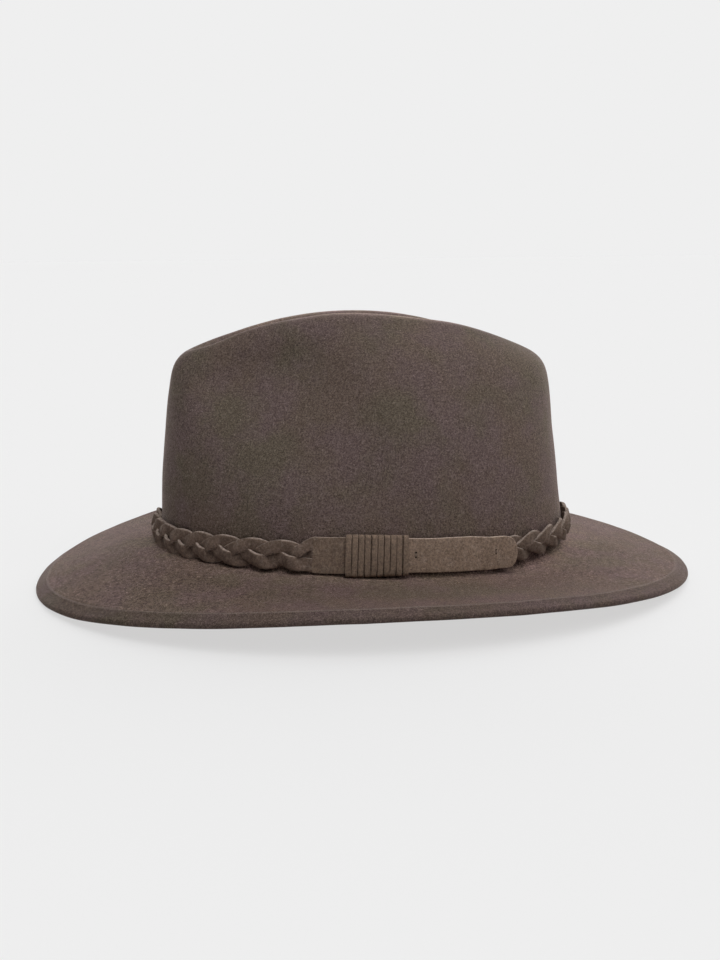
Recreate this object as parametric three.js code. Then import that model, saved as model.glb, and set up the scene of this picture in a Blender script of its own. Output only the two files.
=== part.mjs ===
// A brown felt hat: a crown with a long crease and a pinch on each side, a wide brim whose sides curl up,
// and a suede band plaited from three strands that run into a flat strap with a lace wound round it.
// Millimetres, +Z up. The front is at -Y, the wearer's left at +X, and the brim rests on z = 0.
// Round the crown, angles start at the front and turn towards +X.
import * as THREE from 'three';

// Crown, outside, where it turns into the brim
const CROWN_LENGTH = 208;
const CROWN_WIDTH = 170;
const BREAK_HEIGHT = 19.8; // of the band's lower edge, on average
const BREAK_SLOPE = 3.2; // how much higher that edge runs at the front, and lower at the back
const BREAK_DIP = { depth: 2.6, at: 118, spread: 30 }; // its dip behind each side's middle, in degrees
const FELT = 2.3; // wall thickness

// Brim
const BRIM_FRONT = 63.8;
const BRIM_SIDE = 61.9;
const BRIM_BACK = 66;
const FILLET = 2.6; // inner turn from crown to brim
const FILLET_RISE = 1.2; // of the fillet's centre above the band's lower edge
const EDGE_HEIGHT = 0.6; // middle of the rim at the front and the back, where it is pressed flat
const EDGE_RISE = 15.3; // how much higher the rim runs at the sides
const EDGE_SKEW = 0.68; // moves the sides' lift a little to the front
const DISH = 1.5; // hollow of the brim's sides between crown and rim
const LIP_DROP = 2.2; // how far the turned-down lip falls below the brim's own line
const RIM = 3; // thickness of the rounded rim

// Pinch on each side of the crown's front, as two hollows that run into each other, a deep one under the ridge
// and a shallow one below it: depth, middle, half-length, half-height, slant in degrees and how sharply the rim
// turns
const PINCHES = [
  { depth: 15, y: -64, z: 105, length: 45, height: 17, tilt: 2, turn: 4.8 },
  { depth: 7, y: -42, z: 79, length: 43, height: 21, tilt: -15, turn: 3.2 },
];
const PINCH_FADE = { from: 15, to: 45 }; // distance from the middle plane over which the pinch sets in

// The ridge on the wearer's left stands a little higher over its front half, between these places along Y and
// beyond this distance from the middle plane
const LEFT_RISE = { height: 2.8, front: [-95, -62], back: [-30, 25], side: [8, 22] };

// Band: a flat strap, a braid of three flat strands, and a lace. Lifts are measured out from the felt.
const GAP = 0.35; // between pieces that touch
const STRAP_THICK = 1.6;
const STRAND = { width: 4.3, thick: 1.2, sway: 4.6, weave: 1.7, roll: 17, rollLag: 46 };
const BRAID_LIFT = 2.95; // of the braid's middle
const BRAID_RISE = 7.6; // of the braid's middle, above the band's lower edge
const LANES = { pitch: 5.3, lift: 1.2, blend: 6.5 }; // strands side by side, and the length to the weave
const LACE = { width: 2.5, thick: 1.1, turns: 10, pitch: 2.8, bend: 1 };

// Places along the band, measured round the felt from the middle of the wearer's left side towards the back
const SPLIT_AT = -41; // the strap's end where the strands leave it
const WRAP_FROM = -25; // the lace's first turn
const WRAP_TO = WRAP_FROM + LACE.pitch * (LACE.turns - 1);
const TAB_END = 55; // the strap's rounded end
const TAB_ROUND = 6; // length over which it rounds off
const TUCK = 9; // length of braid that lies under it

// Rings of the crown from the crease's floor out and down to the band: half-lengths to the front and the
// back, half-width, heights there, how much the ring narrows towards the front, and mesh rows to the next.
// The fourth is the ridge round the crease, and rise is a ring's share of the left ridge's extra height.
const CROWN_RINGS = [
  { front: 48, back: 43, side: 4, zFront: 112, zBack: 110, zSide: 111, narrow: 0.3, rows: 1 },
  { front: 64, back: 60, side: 14, zFront: 113, zBack: 111, zSide: 114, narrow: 0.45, rows: 1 },
  { front: 78, back: 74, side: 26, zFront: 115, zBack: 112, zSide: 124, narrow: 0.48, rows: 2, rise: 0.12 },
  { front: 87.8, back: 83.2, side: 37, zFront: 117, zBack: 114, zSide: 133.6, narrow: 0.44, rows: 2, rise: 1 },
  { front: 94.6, back: 90.9, side: 50, zFront: 111.6, zBack: 111.5, zSide: 127.6, narrow: 0.36, rows: 2, rise: 0.57 },
  { front: 98.6, back: 96.4, side: 65, zFront: 96.6, zBack: 104.6, zSide: 114, narrow: 0.22, rows: 2 },
  { front: 101.2, back: 100.1, side: 74.5, zFront: 74.3, zBack: 71.3, zSide: 88, narrow: 0.1, rows: 2 },
  { front: 103.2, back: 102.5, side: 80.5, zFront: 49.3, zBack: 47.3, zSide: 55, narrow: 0.03, rows: 1 },
  { front: 104, back: 104.5, side: 84.3, zFront: 27, zBack: 24.5, zSide: 25.8, narrow: 0, rows: 1 },
];
const FILLET_TURNS = [8, 48, 88]; // degrees from the crown's wall to the brim

// Rings of the brim out to the rim: share of the brim's width less an inset, the share of the brim's fall
// that is reached there, and the share of the lip's drop
const BRIM_RINGS = [
  { share: 0.28, inset: 0, fall: 0.17, lip: 0 },
  { share: 0.52, inset: 0, fall: 0.42, lip: 0 },
  { share: 0.74, inset: 0, fall: 0.7, lip: 0 },
  { share: 1, inset: 8.6, fall: 0.88, lip: 0 },
  { share: 1, inset: 6.2, fall: 0.915, lip: 0.14 }, // bend of the lip
  { share: 1, inset: 1.5, fall: 1, lip: 1 },
];
const RIM_TURNS = [45, 90, 135]; // degrees round the rim between its top and its underside

// The strap's lower and upper edges above the band's lower edge, and its lift, at places along it
const STRAP_ROWS = [
  { at: SPLIT_AT, low: -0.5, high: 15.4, lift: 0.85 },
  { at: SPLIT_AT + 6, low: -0.4, high: 15.6, lift: 0.95 },
  { at: WRAP_FROM - 2, low: -0.2, high: 16.1, lift: 2.3 },
  { at: WRAP_TO + 5, low: 0.5, high: 16.3, lift: 2.35 },
  { at: TAB_END - 26, low: 1, high: 16.7, lift: 2.5 },
  { at: TAB_END - 10, low: 1.3, high: 16.2, lift: 3.9 },
  { at: TAB_END - 3, low: 1.3, high: 16.2, lift: 6.1 },
  { at: TAB_END, low: 1.3, high: 16.2, lift: 6.2 },
];

// Corners of the lace's way round the strap, and the share of the pitch it has moved on by then
const LACE_CORNERS = [
  { high: 1, outer: 1, moved: 0 },
  { high: -1, outer: 1, moved: 0 },
  { high: -1, outer: -1, moved: 0.1 },
  { high: 1, outer: -1, moved: 0.9 },
];

// Mesh fineness
const COLUMNS = 64; // round the felt
const STRAP_STEPS = 20;
const TAB_STEPS = 7;
const BRAID_STEPS = 149; // of 30 degrees of the weave; an odd number ends with the strands side by side
const BEND_STEPS = 2; // in each corner of the lace
const GIRTH_STEPS = 1440;
const HALVINGS = 24; // in the search for a height on the wall

const FRONT_REACH = CROWN_LENGTH / 2 + BRIM_FRONT;
const BACK_REACH = CROWN_LENGTH / 2 + BRIM_BACK;
const CROWN_Y = (FRONT_REACH - BACK_REACH) / 2; // crown's middle, so that the brim's is at the origin
const LAST_RING = CROWN_RINGS.length + FILLET_TURNS.length + BRIM_RINGS.length - 1;
const ABOVE_BAND = CROWN_RINGS.length - 2;
const BELOW_BAND = CROWN_RINGS.length + 1;

function breakHeight(angle) {
  const fromFront = THREE.MathUtils.radToDeg(Math.acos(Math.cos(angle)));
  const dip = BREAK_DIP.depth * Math.exp(-(((fromFront - BREAK_DIP.at) / BREAK_DIP.spread) ** 2));
  return BREAK_HEIGHT + BREAK_SLOPE * Math.cos(angle) - dip;
}

function brimWidth(angle) {
  const lengthwise = (BRIM_FRONT + BRIM_BACK) / 2 + ((BRIM_FRONT - BRIM_BACK) / 2) * Math.cos(angle);
  return lengthwise + (BRIM_SIDE - (BRIM_FRONT + BRIM_BACK) / 2) * Math.sin(angle) ** 2;
}

function edgeHeight(angle) {
  const skew = EDGE_SKEW * (Math.cos(angle) - Math.cos(3 * angle));
  return EDGE_HEIGHT + EDGE_RISE * Math.sin(angle) ** 2 + skew;
}

// Point at a distance out from the crown's foot, square to it
function footPoint(angle, distance, height) {
  const outX = Math.sin(angle) / CROWN_WIDTH;
  const outY = -Math.cos(angle) / CROWN_LENGTH;
  const size = Math.hypot(outX, outY);
  return new THREE.Vector3(
    (CROWN_WIDTH / 2) * Math.sin(angle) + (distance * outX) / size,
    CROWN_Y - (CROWN_LENGTH / 2) * Math.cos(angle) + (distance * outY) / size,
    height,
  );
}

// How deep a hollow is at a point: full depth in the middle of a slanting oval, none outside it
function hollowDepth({ depth, y, z, length, height, tilt, turn }, point) {
  const slant = THREE.MathUtils.degToRad(tilt);
  const along = (point.y - y) * Math.cos(slant) + (point.z - z) * Math.sin(slant);
  const across = (point.z - z) * Math.cos(slant) - (point.y - y) * Math.sin(slant);
  return depth * Math.exp(-(Math.hypot(along / length, across / height) ** turn));
}

// The hollows push the side's wall in along X
function pinch(point) {
  const depth = PINCHES.reduce((sum, hollow) => sum + hollowDepth(hollow, point), 0);
  const wall = THREE.MathUtils.smoothstep(Math.abs(point.x), PINCH_FADE.from, PINCH_FADE.to);
  point.x -= Math.sign(point.x) * depth * wall;
  return point;
}

// How much higher the left ridge stands at a point
function leftRise(point) {
  const { smoothstep } = THREE.MathUtils;
  const along = smoothstep(point.y, ...LEFT_RISE.front) - smoothstep(point.y, ...LEFT_RISE.back);
  return LEFT_RISE.height * along * smoothstep(point.x, ...LEFT_RISE.side);
}

function crownPoint(ring, angle) {
  const forward = (1 + Math.cos(angle)) / 2;
  const reach = Math.cos(angle) > 0 ? ring.front : ring.back;
  const endHeight = ring.zFront * forward + ring.zBack * (1 - forward);
  const point = pinch(new THREE.Vector3(
    ring.side * Math.sin(angle) * (1 - ring.narrow * forward ** 1.5),
    CROWN_Y - reach * Math.cos(angle),
    ring.zSide + (endHeight - ring.zSide) * Math.cos(angle) ** 2,
  ));
  point.z += (ring.rise ?? 0) * leftRise(point);
  return point;
}

function filletPoint(degrees, angle) {
  const turn = THREE.MathUtils.degToRad(degrees);
  const centre = breakHeight(angle) + FILLET_RISE;
  return footPoint(angle, FILLET * (1 - Math.cos(turn)), centre - FILLET * Math.sin(turn));
}

function brimPoint(ring, angle) {
  const width = brimWidth(angle);
  const distance = ring.share * width - ring.inset;
  const start = breakHeight(angle) + FILLET_RISE - FILLET;
  const end = edgeHeight(angle) + RIM / 2 + LIP_DROP;
  const dish = DISH * Math.sin(angle) ** 2 * Math.sin((Math.PI * distance) / width);
  return footPoint(angle, distance, start + (end - start) * ring.fall - dish - ring.lip * LIP_DROP);
}

// Line down the felt's upper face, from the crease's floor to the rim
function profile(angle) {
  const points = [
    ...CROWN_RINGS.map((ring) => crownPoint(ring, angle)),
    ...FILLET_TURNS.map((degrees) => filletPoint(degrees, angle)),
    ...BRIM_RINGS.map((ring) => brimPoint(ring, angle)),
  ];
  return new THREE.CatmullRomCurve3(points, false, 'centripetal');
}

function upperFace() {
  const shares = [];
  for (let ring = 0; ring < LAST_RING; ring += 1) {
    const rows = ring < CROWN_RINGS.length ? CROWN_RINGS[ring].rows : 1;
    for (let row = 0; row < rows; row += 1) {
      shares.push((ring + row / rows) / LAST_RING);
    }
  }
  shares.push(1);
  const curves = [];
  for (let column = 0; column < COLUMNS; column += 1) {
    curves.push(profile((2 * Math.PI * column) / COLUMNS));
  }
  return shares.map((share) => curves.map((curve) => curve.getPoint(share)));
}

// Unit vectors out of the upper face, and down along it
function faceDirections(rows, row, column) {
  const next = rows[Math.min(row + 1, rows.length - 1)][column];
  const previous = rows[Math.max(row - 1, 0)][column];
  const right = rows[row][(column + 1) % COLUMNS];
  const left = rows[row][(column + COLUMNS - 1) % COLUMNS];
  const round = right.clone().sub(left).normalize();
  const out = next.clone().sub(previous).cross(round).normalize();
  return { out, down: round.cross(out).normalize() };
}

function feltGeometry() {
  const upper = upperFace();
  const last = upper.length - 1;
  const under = upper.map((points, row) => points.map((point, column) => {
    const thick = row === last ? RIM : FELT;
    return point.clone().addScaledVector(faceDirections(upper, row, column).out, -thick);
  }));
  const rim = RIM_TURNS.map((degrees) => upper[last].map((point, column) => {
    const { out, down } = faceDirections(upper, last, column);
    const turn = THREE.MathUtils.degToRad(degrees);
    return point.clone()
      .addScaledVector(out, (RIM / 2) * (Math.cos(turn) - 1))
      .addScaledVector(down, (RIM / 2) * Math.sin(turn));
  }));
  const rows = [...upper, ...rim, ...under.reverse()];
  rows.flat().forEach((point) => {
    point.z = Math.max(point.z, 0);
  });
  return ringsGeometry(rows, ladderCap);
}

// Closed body from rings of points that run round it in turn; the cap function fills the first and last ring
function ringsGeometry(rings, cap) {
  const count = rings[0].length;
  const triangles = [];
  for (let row = 0; row < rings.length - 1; row += 1) {
    for (let column = 0; column < count; column += 1) {
      const next = (column + 1) % count;
      const a = row * count + column;
      const b = (row + 1) * count + column;
      const c = (row + 1) * count + next;
      const d = row * count + next;
      triangles.push(a, b, c, a, c, d);
    }
  }
  const lastRing = (rings.length - 1) * count;
  cap(count).forEach(([a, b, c]) => {
    triangles.push(a, b, c, lastRing + a, lastRing + c, lastRing + b);
  });
  const geometry = new THREE.BufferGeometry();
  const positions = rings.flat().flatMap((point) => point.toArray());
  geometry.setAttribute('position', new THREE.Float32BufferAttribute(positions, 3));
  geometry.setIndex(triangles);
  return geometry;
}

// Fills a long narrow ring with rungs between its two sides
function ladderCap(count) {
  const triangles = [];
  for (let step = 0; step < count / 2; step += 1) {
    const mirror = count - step;
    if (step > 0) {
      triangles.push([step, mirror - 1, mirror]);
    }
    if (step + 1 < count / 2) {
      triangles.push([step, step + 1, mirror - 1]);
    }
  }
  return triangles;
}

// Fills a small ring from its first point
function fanCap(count) {
  const triangles = [];
  for (let step = 1; step < count - 1; step += 1) {
    triangles.push([0, step, step + 1]);
  }
  return triangles;
}

// Angle round the crown at each place along the band
function bandAngles() {
  const start = Math.PI / 2;
  const angles = [];
  const places = [];
  let place = 0;
  let before = footPoint(start, 0, 0);
  for (let step = 0; step <= GIRTH_STEPS; step += 1) {
    const angle = start + (2 * Math.PI * step) / GIRTH_STEPS;
    const point = footPoint(angle, 0, 0);
    place += point.distanceTo(before);
    before = point;
    angles.push(angle);
    places.push(place);
  }
  return { angles, places, girth: place };
}

const BAND = bandAngles();

function angleAt(place) {
  const wrapped = THREE.MathUtils.euclideanModulo(place, BAND.girth);
  const index = Math.max(1, BAND.places.findIndex((value) => value >= wrapped));
  const share = (wrapped - BAND.places[index - 1]) / (BAND.places[index] - BAND.places[index - 1]);
  return THREE.MathUtils.lerp(BAND.angles[index - 1], BAND.angles[index], share);
}

// Point on the crown's wall at a given height
function wallPoint(angle, height) {
  const curve = profile(angle);
  let above = ABOVE_BAND / LAST_RING;
  let below = BELOW_BAND / LAST_RING;
  for (let step = 0; step < HALVINGS; step += 1) {
    const middle = (above + below) / 2;
    if (curve.getPoint(middle).z > height) {
      above = middle;
    } else {
      below = middle;
    }
  }
  return curve.getPoint((above + below) / 2);
}

// Frame on the band's middle line: its point on the felt and the directions along, up and out
function bandFrame(place) {
  const angle = angleAt(place);
  const ahead = angle + 0.01;
  const middle = breakHeight(angle) + BRAID_RISE;
  const point = wallPoint(angle, middle);
  const up = wallPoint(angle, middle + 6).sub(wallPoint(angle, middle - 5)).normalize();
  const along = wallPoint(ahead, breakHeight(ahead) + BRAID_RISE).sub(point).normalize();
  const out = along.clone().cross(up).normalize();
  return { point, along, up: out.clone().cross(along), out };
}

function bandPoint(frame, up, out, along = 0) {
  return frame.point.clone()
    .addScaledVector(frame.up, up - BRAID_RISE)
    .addScaledVector(frame.out, out)
    .addScaledVector(frame.along, along);
}

function strapRow(place) {
  const last = STRAP_ROWS.length - 2;
  const index = STRAP_ROWS.findLastIndex((row) => row.at <= place);
  const from = STRAP_ROWS[THREE.MathUtils.clamp(index, 0, last)];
  const to = STRAP_ROWS[THREE.MathUtils.clamp(index, 0, last) + 1];
  const share = THREE.MathUtils.smoothstep(place, from.at, to.at);
  const mix = (key) => THREE.MathUtils.lerp(from[key], to[key], share);
  return { low: mix('low'), high: mix('high'), lift: mix('lift') };
}

function strapGeometry() {
  const roundFrom = TAB_END - TAB_ROUND;
  const places = [];
  for (let step = 0; step < STRAP_STEPS; step += 1) {
    places.push(THREE.MathUtils.lerp(SPLIT_AT, roundFrom, step / STRAP_STEPS));
  }
  for (let step = 0; step <= TAB_STEPS; step += 1) {
    const turn = (0.97 * Math.PI * step) / (2 * TAB_STEPS);
    places.push(roundFrom + TAB_ROUND * Math.sin(turn));
  }
  const rings = places.map((place) => {
    const frame = bandFrame(place);
    const row = strapRow(place);
    const past = Math.max(0, (place - roundFrom) / TAB_ROUND);
    const half = ((row.high - row.low) / 2) * Math.sqrt(1 - past ** 2);
    const middle = (row.high + row.low) / 2;
    return [
      bandPoint(frame, middle - half, row.lift),
      bandPoint(frame, middle - half, row.lift + STRAP_THICK),
      bandPoint(frame, middle + half, row.lift + STRAP_THICK),
      bandPoint(frame, middle + half, row.lift),
    ];
  });
  return ringsGeometry(rings, fanCap);
}

// One strand of the braid, from the strap's split round the crown and under the tab. Each strand sways up and
// down once while it weaves out and in twice, and at both ends the three lie flat, one above another.
function strandGeometry(index) {
  const length = BAND.girth - (TAB_END - SPLIT_AT) + TUCK;
  const phaseAt = (step) => {
    const woven = THREE.MathUtils.clamp(step, 1, BRAID_STEPS - 2);
    return (Math.PI / 6) * (3 + 4 * index - woven);
  };
  const startLane = Math.round(1.15 * Math.sin(phaseAt(0)));
  const endLane = Math.round(1.15 * Math.sin(phaseAt(BRAID_STEPS)));
  const width = STRAND.width / 2;
  const thick = STRAND.thick / 2;
  const rings = [];
  for (let step = 0; step <= BRAID_STEPS; step += 1) {
    const travelled = (length * step) / BRAID_STEPS;
    const frame = bandFrame(SPLIT_AT - GAP - travelled);
    const phase = phaseAt(step);
    const woven = THREE.MathUtils.smoothstep(Math.min(travelled, length - travelled), 0, LANES.blend);
    const lane = travelled < length / 2 ? startLane : endLane;
    const sway = THREE.MathUtils.lerp(lane * LANES.pitch, STRAND.sway * Math.sin(phase), woven);
    const weave = STRAND.weave * Math.sin(2 * phase);
    const lift = THREE.MathUtils.lerp(LANES.lift, BRAID_LIFT + weave, woven);
    const rollPhase = 3 * phase - THREE.MathUtils.degToRad(STRAND.rollLag);
    const roll = -THREE.MathUtils.degToRad(STRAND.roll) * Math.sin(rollPhase) * woven;
    const corner = (across, through) => bandPoint(
      frame,
      BRAID_RISE + sway + across * Math.cos(roll) - through * Math.sin(roll),
      lift + across * Math.sin(roll) + through * Math.cos(roll),
    );
    rings.push([
      corner(-width, -thick),
      corner(width, -thick),
      corner(width, thick),
      corner(-width, thick),
    ]);
  }
  return ringsGeometry(rings, fanCap);
}

// Section of the lace in a corner of the strap, turned by the bend's angle
function laceRing(place, corner, bend) {
  const frame = bandFrame(place);
  const row = strapRow(place);
  const clear = GAP + LACE.thick / 2 - LACE.bend;
  const up = corner.high > 0 ? row.high + clear : row.low - clear;
  const out = corner.outer > 0 ? row.lift + STRAP_THICK + clear : row.lift - clear;
  const section = (across, through) => bandPoint(
    frame,
    up + (LACE.bend + through) * Math.cos(bend),
    out + (LACE.bend + through) * Math.sin(bend),
    across,
  );
  const width = LACE.width / 2;
  const thick = LACE.thick / 2;
  return [section(-width, -thick), section(-width, thick), section(width, thick), section(width, -thick)];
}

// Lace wound round the strap, straight across the front and one turn further on behind, where it ends low
function laceGeometry() {
  const rings = [];
  for (let turn = 0; turn < LACE.turns; turn += 1) {
    const corners = turn === LACE.turns - 1 ? LACE_CORNERS.slice(0, -1) : LACE_CORNERS;
    corners.forEach((corner, index) => {
      const place = WRAP_FROM + LACE.pitch * (turn + corner.moved);
      for (let step = 0; step <= BEND_STEPS; step += 1) {
        rings.push(laceRing(place, corner, (Math.PI / 2) * (index + step / BEND_STEPS)));
      }
    });
  }
  return ringsGeometry(rings, fanCap);
}

function addPiece(group, name, geometry, color, roughness) {
  const mesh = new THREE.Mesh(geometry, new THREE.MeshStandardMaterial({ color, roughness, metalness: 0 }));
  mesh.name = name;
  group.add(mesh);
}

const hat = new THREE.Group();
addPiece(hat, 'felt_body', feltGeometry(), 0x5c524d, 0.95);
addPiece(hat, 'band_strap', strapGeometry(), 0x5a4e49, 0.9);
for (let index = 0; index < 3; index += 1) {
  addPiece(hat, `braid_strand_${index + 1}`, strandGeometry(index), 0x51463f, 0.9);
}
addPiece(hat, 'lace_wrap', laceGeometry(), 0x4f443e, 0.9);

export default hat;
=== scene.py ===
import math
import random

import bpy
import numpy as np
from mathutils import Matrix, Vector, noise


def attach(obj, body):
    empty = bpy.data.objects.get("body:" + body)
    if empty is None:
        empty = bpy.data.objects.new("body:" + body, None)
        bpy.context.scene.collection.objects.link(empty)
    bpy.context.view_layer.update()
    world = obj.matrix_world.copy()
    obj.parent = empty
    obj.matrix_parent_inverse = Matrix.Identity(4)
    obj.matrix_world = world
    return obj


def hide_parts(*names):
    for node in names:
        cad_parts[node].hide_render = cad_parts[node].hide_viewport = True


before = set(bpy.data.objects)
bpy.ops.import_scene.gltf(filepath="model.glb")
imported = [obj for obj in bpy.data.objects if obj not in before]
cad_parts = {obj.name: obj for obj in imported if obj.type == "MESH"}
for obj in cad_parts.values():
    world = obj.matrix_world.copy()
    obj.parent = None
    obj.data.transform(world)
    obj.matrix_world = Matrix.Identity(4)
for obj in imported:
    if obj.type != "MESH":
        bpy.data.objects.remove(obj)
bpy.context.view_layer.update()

random.seed(7)
MM = 0.001

# The hat's own sizes in mm, as in the CAD. Its front is at -Y and the wearer's left at +X, and angles round
# the crown start at the front and turn towards +X.
CROWN_LENGTH, CROWN_WIDTH = 208, 170
FELT = 2.3
BRIM_FRONT, BRIM_SIDE, BRIM_BACK = 63.8, 61.9, 66
CROWN_Y = (BRIM_FRONT - BRIM_BACK) / 2
# The band's lower edge, where the crown's wall ends: height, slope from front to back, and a dip behind each
# side's middle, in degrees. A tight turn leads from there to the brim.
BREAK_HEIGHT, BREAK_SLOPE = 19.8, 3.2
BREAK_DIP = dict(depth=2.6, at=118, spread=30)
FILLET, FILLET_RISE = 2.6, 1.2
# The rim's height at the front and back, its rise at the sides, and how far that moves to the front
EDGE_HEIGHT, EDGE_RISE, EDGE_SKEW = 0.6, 15.3, 0.68
# Hollow of the brim's sides, drop of its lip, and thickness of its rounded rim
DISH, LIP_DROP, RIM = 1.5, 2.2, 3
# Pinch on each side of the crown's front: two hollows, with their slant in degrees and how sharply the rim
# turns, and the distance from the middle plane over which they set in
PINCHES = [
    dict(depth=15, y=-64, z=105, length=45, height=17, tilt=2, turn=4.8),
    dict(depth=7, y=-42, z=79, length=43, height=21, tilt=-15, turn=3.2),
]
PINCH_FADE = (15, 45)
# The ridge on the wearer's left stands a little higher between these places along Y, beyond this distance
# from the middle plane and down to this far below the ridge
LEFT_RISE = dict(height=2.8, front=(-95, -62), back=(-30, 25), side=(8, 22), below=(-12, -1))
# Height of the braid's middle above the band's lower edge
BRAID_RISE = 7.6
# Places along the band, measured round the felt from the middle of the wearer's left side towards the back
SPLIT_AT, WRAP_FROM, LACE_PITCH, LACE_TURNS = -41, -25, 2.8, 10
WRAP_TO = WRAP_FROM + LACE_PITCH * (LACE_TURNS - 1)
TAB_END, TAB_ROUND, TUCK = 55.8, 7, 9.8

# Rings of the crown from the crease's floor down to the band: half-lengths to the front and the back,
# half-width, heights there, how much the ring narrows towards the front, and rows of mesh to the next
CROWN_RINGS = [
    (48, 43, 4, 112, 110, 111, 0.3, 6),
    (64, 60, 14, 113, 111, 114, 0.45, 8),
    (78, 74, 26, 115, 112, 124, 0.48, 8),
    (87.8, 83.2, 37, 117, 114, 133.6, 0.44, 10),
    (94.6, 90.9, 50, 111.6, 111.5, 127.6, 0.36, 12),
    (98.6, 96.4, 65, 96.6, 104.6, 114, 0.22, 12),
    (101.2, 100.1, 74.5, 74.3, 71.3, 88, 0.1, 12),
    (103.2, 102.5, 80.5, 49.3, 47.3, 55, 0.03, 10),
    (104, 104.5, 84.3, 27, 24.5, 25.8, 0, 4),
]
NARROWING = 1.5  # how gently a ring's narrowing sets in towards the front
# Rings of the turn to the brim: degrees and rows of mesh
FILLET_TURNS = [(8, 4), (48, 4), (88, 8)]
# Rings of the brim: share of its width, inset, share of its fall, share of the lip's drop, rows of mesh
BRIM_RINGS = [
    (0.28, 0, 0.17, 0, 8),
    (0.52, 0, 0.42, 0, 8),
    (0.74, 0, 0.7, 0, 8),
    (1, 8.6, 0.88, 0, 4),
    (1, 7.9, 0.89, 0, 5),
    (1, 7.2, 0.9, 0.11, 4),
    (1, 4.5, 0.95, 0.56, 6),
    (1, 1.5, 1, 1, 0),
]
# Faint fold line along the lip: distance from the rim, height and width
FOLD_INSET, FOLD_RIDGE, FOLD_WIDTH = 7.6, 0.16, 0.4
LAST = len(CROWN_RINGS) + len(FILLET_TURNS) + len(BRIM_RINGS) - 1
HALVINGS = 24  # in the search for a height on the wall
GIRTH_STEPS = 2880
# Distances over which the wall's own directions are taken at the band: above, below, and round in radians
WALL_ABOVE, WALL_BELOW, WALL_ROUND = 6, 5, 0.01


def smoothstep(x, low, high):
    t = np.clip((x - low) / (high - low), 0, 1)
    return t * t * (3 - 2 * t)


def break_height(angle):
    off = np.degrees(np.arccos(np.clip(np.cos(angle), -1, 1)))
    dip = BREAK_DIP["depth"] * np.exp(-(((off - BREAK_DIP["at"]) / BREAK_DIP["spread"]) ** 2))
    return BREAK_HEIGHT + BREAK_SLOPE * np.cos(angle) - dip


def foot_point(angle, distance, height):
    """Point at a distance out from the crown's foot, square to it."""
    out = np.stack([np.sin(angle) / CROWN_WIDTH, -np.cos(angle) / CROWN_LENGTH], -1)
    out /= np.linalg.norm(out, axis=-1, keepdims=True)
    foot = np.stack([CROWN_WIDTH / 2 * np.sin(angle), CROWN_Y - CROWN_LENGTH / 2 * np.cos(angle)], -1)
    flat = foot + out * np.asarray(distance)[..., None]
    height = np.broadcast_to(np.asarray(height, float), flat.shape[:-1])
    return np.concatenate([flat, height[..., None]], -1)


def hollow_depth(hollow, y, z):
    """How deep a hollow is at a point: full depth in the middle of a slanting oval, none outside it."""
    slant = math.radians(hollow["tilt"])
    along = (y - hollow["y"]) * math.cos(slant) + (z - hollow["z"]) * math.sin(slant)
    across = (z - hollow["z"]) * math.cos(slant) - (y - hollow["y"]) * math.sin(slant)
    out = np.hypot(along / hollow["length"], across / hollow["height"])
    return hollow["depth"] * np.exp(-(out ** hollow["turn"]))


def crown_ring(ring, angle):
    front, back, side, z_front, z_back, z_side, narrow, _ = ring
    c, s = np.cos(angle), np.sin(angle)
    forward = (1 + c) / 2
    end = z_front * forward + z_back * (1 - forward)
    x = side * s * (1 - narrow * forward**NARROWING)
    y = CROWN_Y - np.where(c > 0, front, back) * c
    z = z_side + (end - z_side) * c**2
    dent = sum(hollow_depth(hollow, y, z) for hollow in PINCHES)
    x = x - np.sign(x) * dent * smoothstep(np.abs(x), *PINCH_FADE)
    return np.stack([x, y, z], -1)


def fillet_ring(degrees, angle):
    turn = math.radians(degrees)
    centre = break_height(angle) + FILLET_RISE
    distance = np.full_like(angle, FILLET * (1 - math.cos(turn)))
    return foot_point(angle, distance, centre - FILLET * math.sin(turn))


def brim_ring(ring, angle):
    share, inset, fall, lip, _ = ring
    c, s = np.cos(angle), np.sin(angle)
    width = (BRIM_FRONT + BRIM_BACK) / 2 + (BRIM_FRONT - BRIM_BACK) / 2 * c
    width = width + (BRIM_SIDE - (BRIM_FRONT + BRIM_BACK) / 2) * s**2
    distance = share * width - inset
    start = break_height(angle) + FILLET_RISE - FILLET
    edge = EDGE_HEIGHT + EDGE_RISE * s**2 + EDGE_SKEW * (c - np.cos(3 * angle))
    end = edge + RIM / 2 + LIP_DROP
    dish = DISH * s**2 * np.sin(np.pi * distance / width)
    return foot_point(angle, distance, start + (end - start) * fall - dish - lip * LIP_DROP)


def all_rings(angle):
    rings = [crown_ring(r, angle) for r in CROWN_RINGS]
    rings += [fillet_ring(turn, angle) for turn, _ in FILLET_TURNS]
    rings += [brim_ring(r, angle) for r in BRIM_RINGS]
    return np.array(rings)


def curve_at(rings, u):
    """Centripetal Catmull-Rom down each column of rings, at u in steps of one ring."""
    u = np.broadcast_to(np.asarray(u, float), rings.shape[1:2])
    k = np.clip(np.floor(u).astype(int), 0, len(rings) - 2)
    w = (u - k)[:, None]
    padded = np.concatenate([2 * rings[:1] - rings[1:2], rings, 2 * rings[-1:] - rings[-2:-1]])
    cols = np.arange(rings.shape[1])
    p0, p1, p2, p3 = (padded[k + j, cols] for j in range(4))
    spans = ((p0, p1), (p1, p2), (p2, p3))
    d0, d1, d2 = (np.maximum(((b - a) ** 2).sum(-1, keepdims=True), 1e-12) ** 0.25 for a, b in spans)
    t1 = ((p1 - p0) / d0 - (p2 - p0) / (d0 + d1) + (p2 - p1) / d1) * d1
    t2 = ((p2 - p1) / d1 - (p3 - p1) / (d1 + d2) + (p3 - p2) / d2) * d1
    return p1 + t1 * w + (3 * (p2 - p1) - 2 * t1 - t2) * w**2 + (2 * (p1 - p2) + t1 + t2) * w**3


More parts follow.
